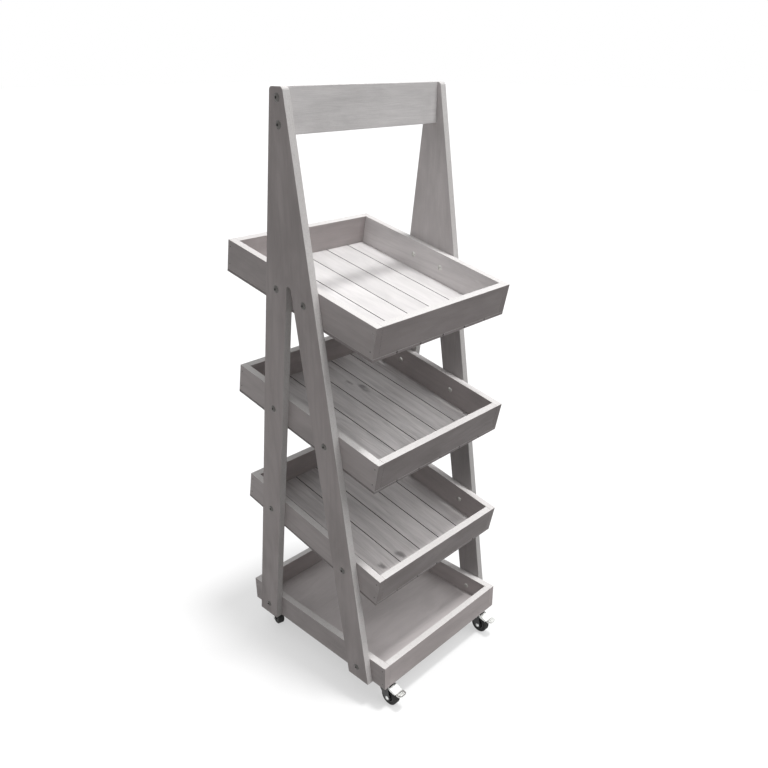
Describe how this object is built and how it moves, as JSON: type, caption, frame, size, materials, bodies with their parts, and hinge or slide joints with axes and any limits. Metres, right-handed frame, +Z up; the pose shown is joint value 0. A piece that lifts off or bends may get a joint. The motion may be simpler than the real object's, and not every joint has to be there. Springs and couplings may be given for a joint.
{
  "type": "plant display cart",
  "caption": "Wooden A-frame plant display cart with forward-tilted slatted trays, a level base tray and swivel castors, the front ones with brake pedals.",
  "frame": {"origin": "on the floor, under the middle of the whole cart's outline, brake pedals included", "axes": "+Z up, +X to the right for a person facing the front, -Y the front, where the trays lean and the brake pedals are"},
  "size_m": [0.4918, 0.565, 1.477],
  "materials": {
    "painted_wood": "matt warm grey paint over board, with faint grain and mottling",
    "bolt_steel": "dark nickel-plated, satin",
    "zinc_steel": "bright zinc plate",
    "pedal_steel": "bright zinc plate, slightly worn at the edges",
    "nail_steel": "dull steel",
    "ball_steel": "polished and greased",
    "black_steel": "black satin coating",
    "black_plastic": "moulded black plastic",
    "black_rubber": "black rubber with floor dust on the tread"
  },
  "bodies": {
    "cart": {"side_panel_left": "painted_wood", "side_panel_right": "painted_wood", "handle_board": "painted_wood", "handle_bolts": "bolt_steel", "handle_insert_nuts": "zinc_steel", "tray_bolts": "bolt_steel", "tray_cap_nuts": "bolt_steel", "tilted_tray_nails": "nail_steel", "base_tray_nails": "nail_steel", "floor_board_nails": "nail_steel", "castor_screws": "zinc_steel", "swivel_kingpins": "zinc_steel", "swivel_balls": "ball_steel", "lower_tray_front_wall": "painted_wood", "lower_tray_rear_wall": "painted_wood", "lower_tray_left_wall": "painted_wood", "lower_tray_right_wall": "painted_wood", "lower_tray_floor_boards": "painted_wood", "middle_tray_front_wall": "painted_wood", "middle_tray_rear_wall": "painted_wood", "middle_tray_left_wall": "painted_wood", "middle_tray_right_wall": "painted_wood", "middle_tray_floor_boards": "painted_wood", "top_tray_front_wall": "painted_wood", "top_tray_rear_wall": "painted_wood", "top_tray_left_wall": "painted_wood", "top_tray_right_wall": "painted_wood", "top_tray_floor_boards": "painted_wood", "base_tray_front_wall": "painted_wood", "base_tray_rear_wall": "painted_wood", "base_tray_left_wall": "painted_wood", "base_tray_right_wall": "painted_wood", "base_tray_floor": "painted_wood", "front_left_mounting_plate": "black_steel", "front_right_mounting_plate": "black_steel", "rear_left_mounting_plate": "black_steel", "rear_right_mounting_plate": "black_steel"},
    "front_left_brake": {"front_left_brake_pedal": "pedal_steel"},
    "front_left_swivel": {"front_left_fork": "black_steel", "front_left_axle": "zinc_steel", "front_left_pedal_pivot": "zinc_steel"},
    "front_left_wheel": {"front_left_wheel_hub": "black_plastic", "front_left_tyre": "black_rubber"},
    "front_right_brake": {"front_right_brake_pedal": "pedal_steel"},
    "front_right_swivel": {"front_right_fork": "black_steel", "front_right_axle": "zinc_steel", "front_right_pedal_pivot": "zinc_steel"},
    "front_right_wheel": {"front_right_wheel_hub": "black_plastic", "front_right_tyre": "black_rubber"},
    "rear_left_swivel": {"rear_left_fork": "black_steel", "rear_left_axle": "zinc_steel"},
    "rear_left_wheel": {"rear_left_wheel_hub": "black_plastic", "rear_left_tyre": "black_rubber"},
    "rear_right_swivel": {"rear_right_fork": "black_steel", "rear_right_axle": "zinc_steel"},
    "rear_right_wheel": {"rear_right_wheel_hub": "black_plastic", "rear_right_tyre": "black_rubber"}
  },
  "joints": [
    {"name": "front_left_swivel_turn", "type": "hinge", "parent": "cart", "child": "front_left_swivel", "pos_m": [-0.19, -0.2135, 0.0707], "axis": [0, 0, 1], "continuous": true},
    {"name": "front_left_wheel_spin", "type": "hinge", "parent": "front_left_swivel", "child": "front_left_wheel", "pos_m": [-0.19, -0.2355, 0.025], "axis": [1, 0, 0], "continuous": true},
    {"name": "front_left_brake_pedal_lift", "type": "hinge", "parent": "front_left_swivel", "child": "front_left_brake", "pos_m": [-0.19, -0.2265, 0.0575], "axis": [-1, 0, 0], "range_deg": [0, 20]},
    {"name": "front_right_swivel_turn", "type": "hinge", "parent": "cart", "child": "front_right_swivel", "pos_m": [0.19, -0.2135, 0.0707], "axis": [0, 0, 1], "continuous": true},
    {"name": "front_right_wheel_spin", "type": "hinge", "parent": "front_right_swivel", "child": "front_right_wheel", "pos_m": [0.19, -0.2355, 0.025], "axis": [1, 0, 0], "continuous": true},
    {"name": "front_right_brake_pedal_lift", "type": "hinge", "parent": "front_right_swivel", "child": "front_right_brake", "pos_m": [0.19, -0.2265, 0.0575], "axis": [-1, 0, 0], "range_deg": [0, 20]},
    {"name": "rear_left_swivel_turn", "type": "hinge", "parent": "cart", "child": "rear_left_swivel", "pos_m": [-0.19, 0.2465, 0.0707], "axis": [0, 0, 1], "continuous": true},
    {"name": "rear_left_wheel_spin", "type": "hinge", "parent": "rear_left_swivel", "child": "rear_left_wheel", "pos_m": [-0.19569, 0.22525, 0.025], "axis": [0.9659, -0.2588, 0], "continuous": true},
    {"name": "rear_right_swivel_turn", "type": "hinge", "parent": "cart", "child": "rear_right_swivel", "pos_m": [0.19, 0.2465, 0.0707], "axis": [0, 0, 1], "continuous": true},
    {"name": "rear_right_wheel_spin", "type": "hinge", "parent": "rear_right_swivel", "child": "rear_right_wheel", "pos_m": [0.19569, 0.22525, 0.025], "axis": [0.9659, 0.2588, 0], "continuous": true}
  ]
}
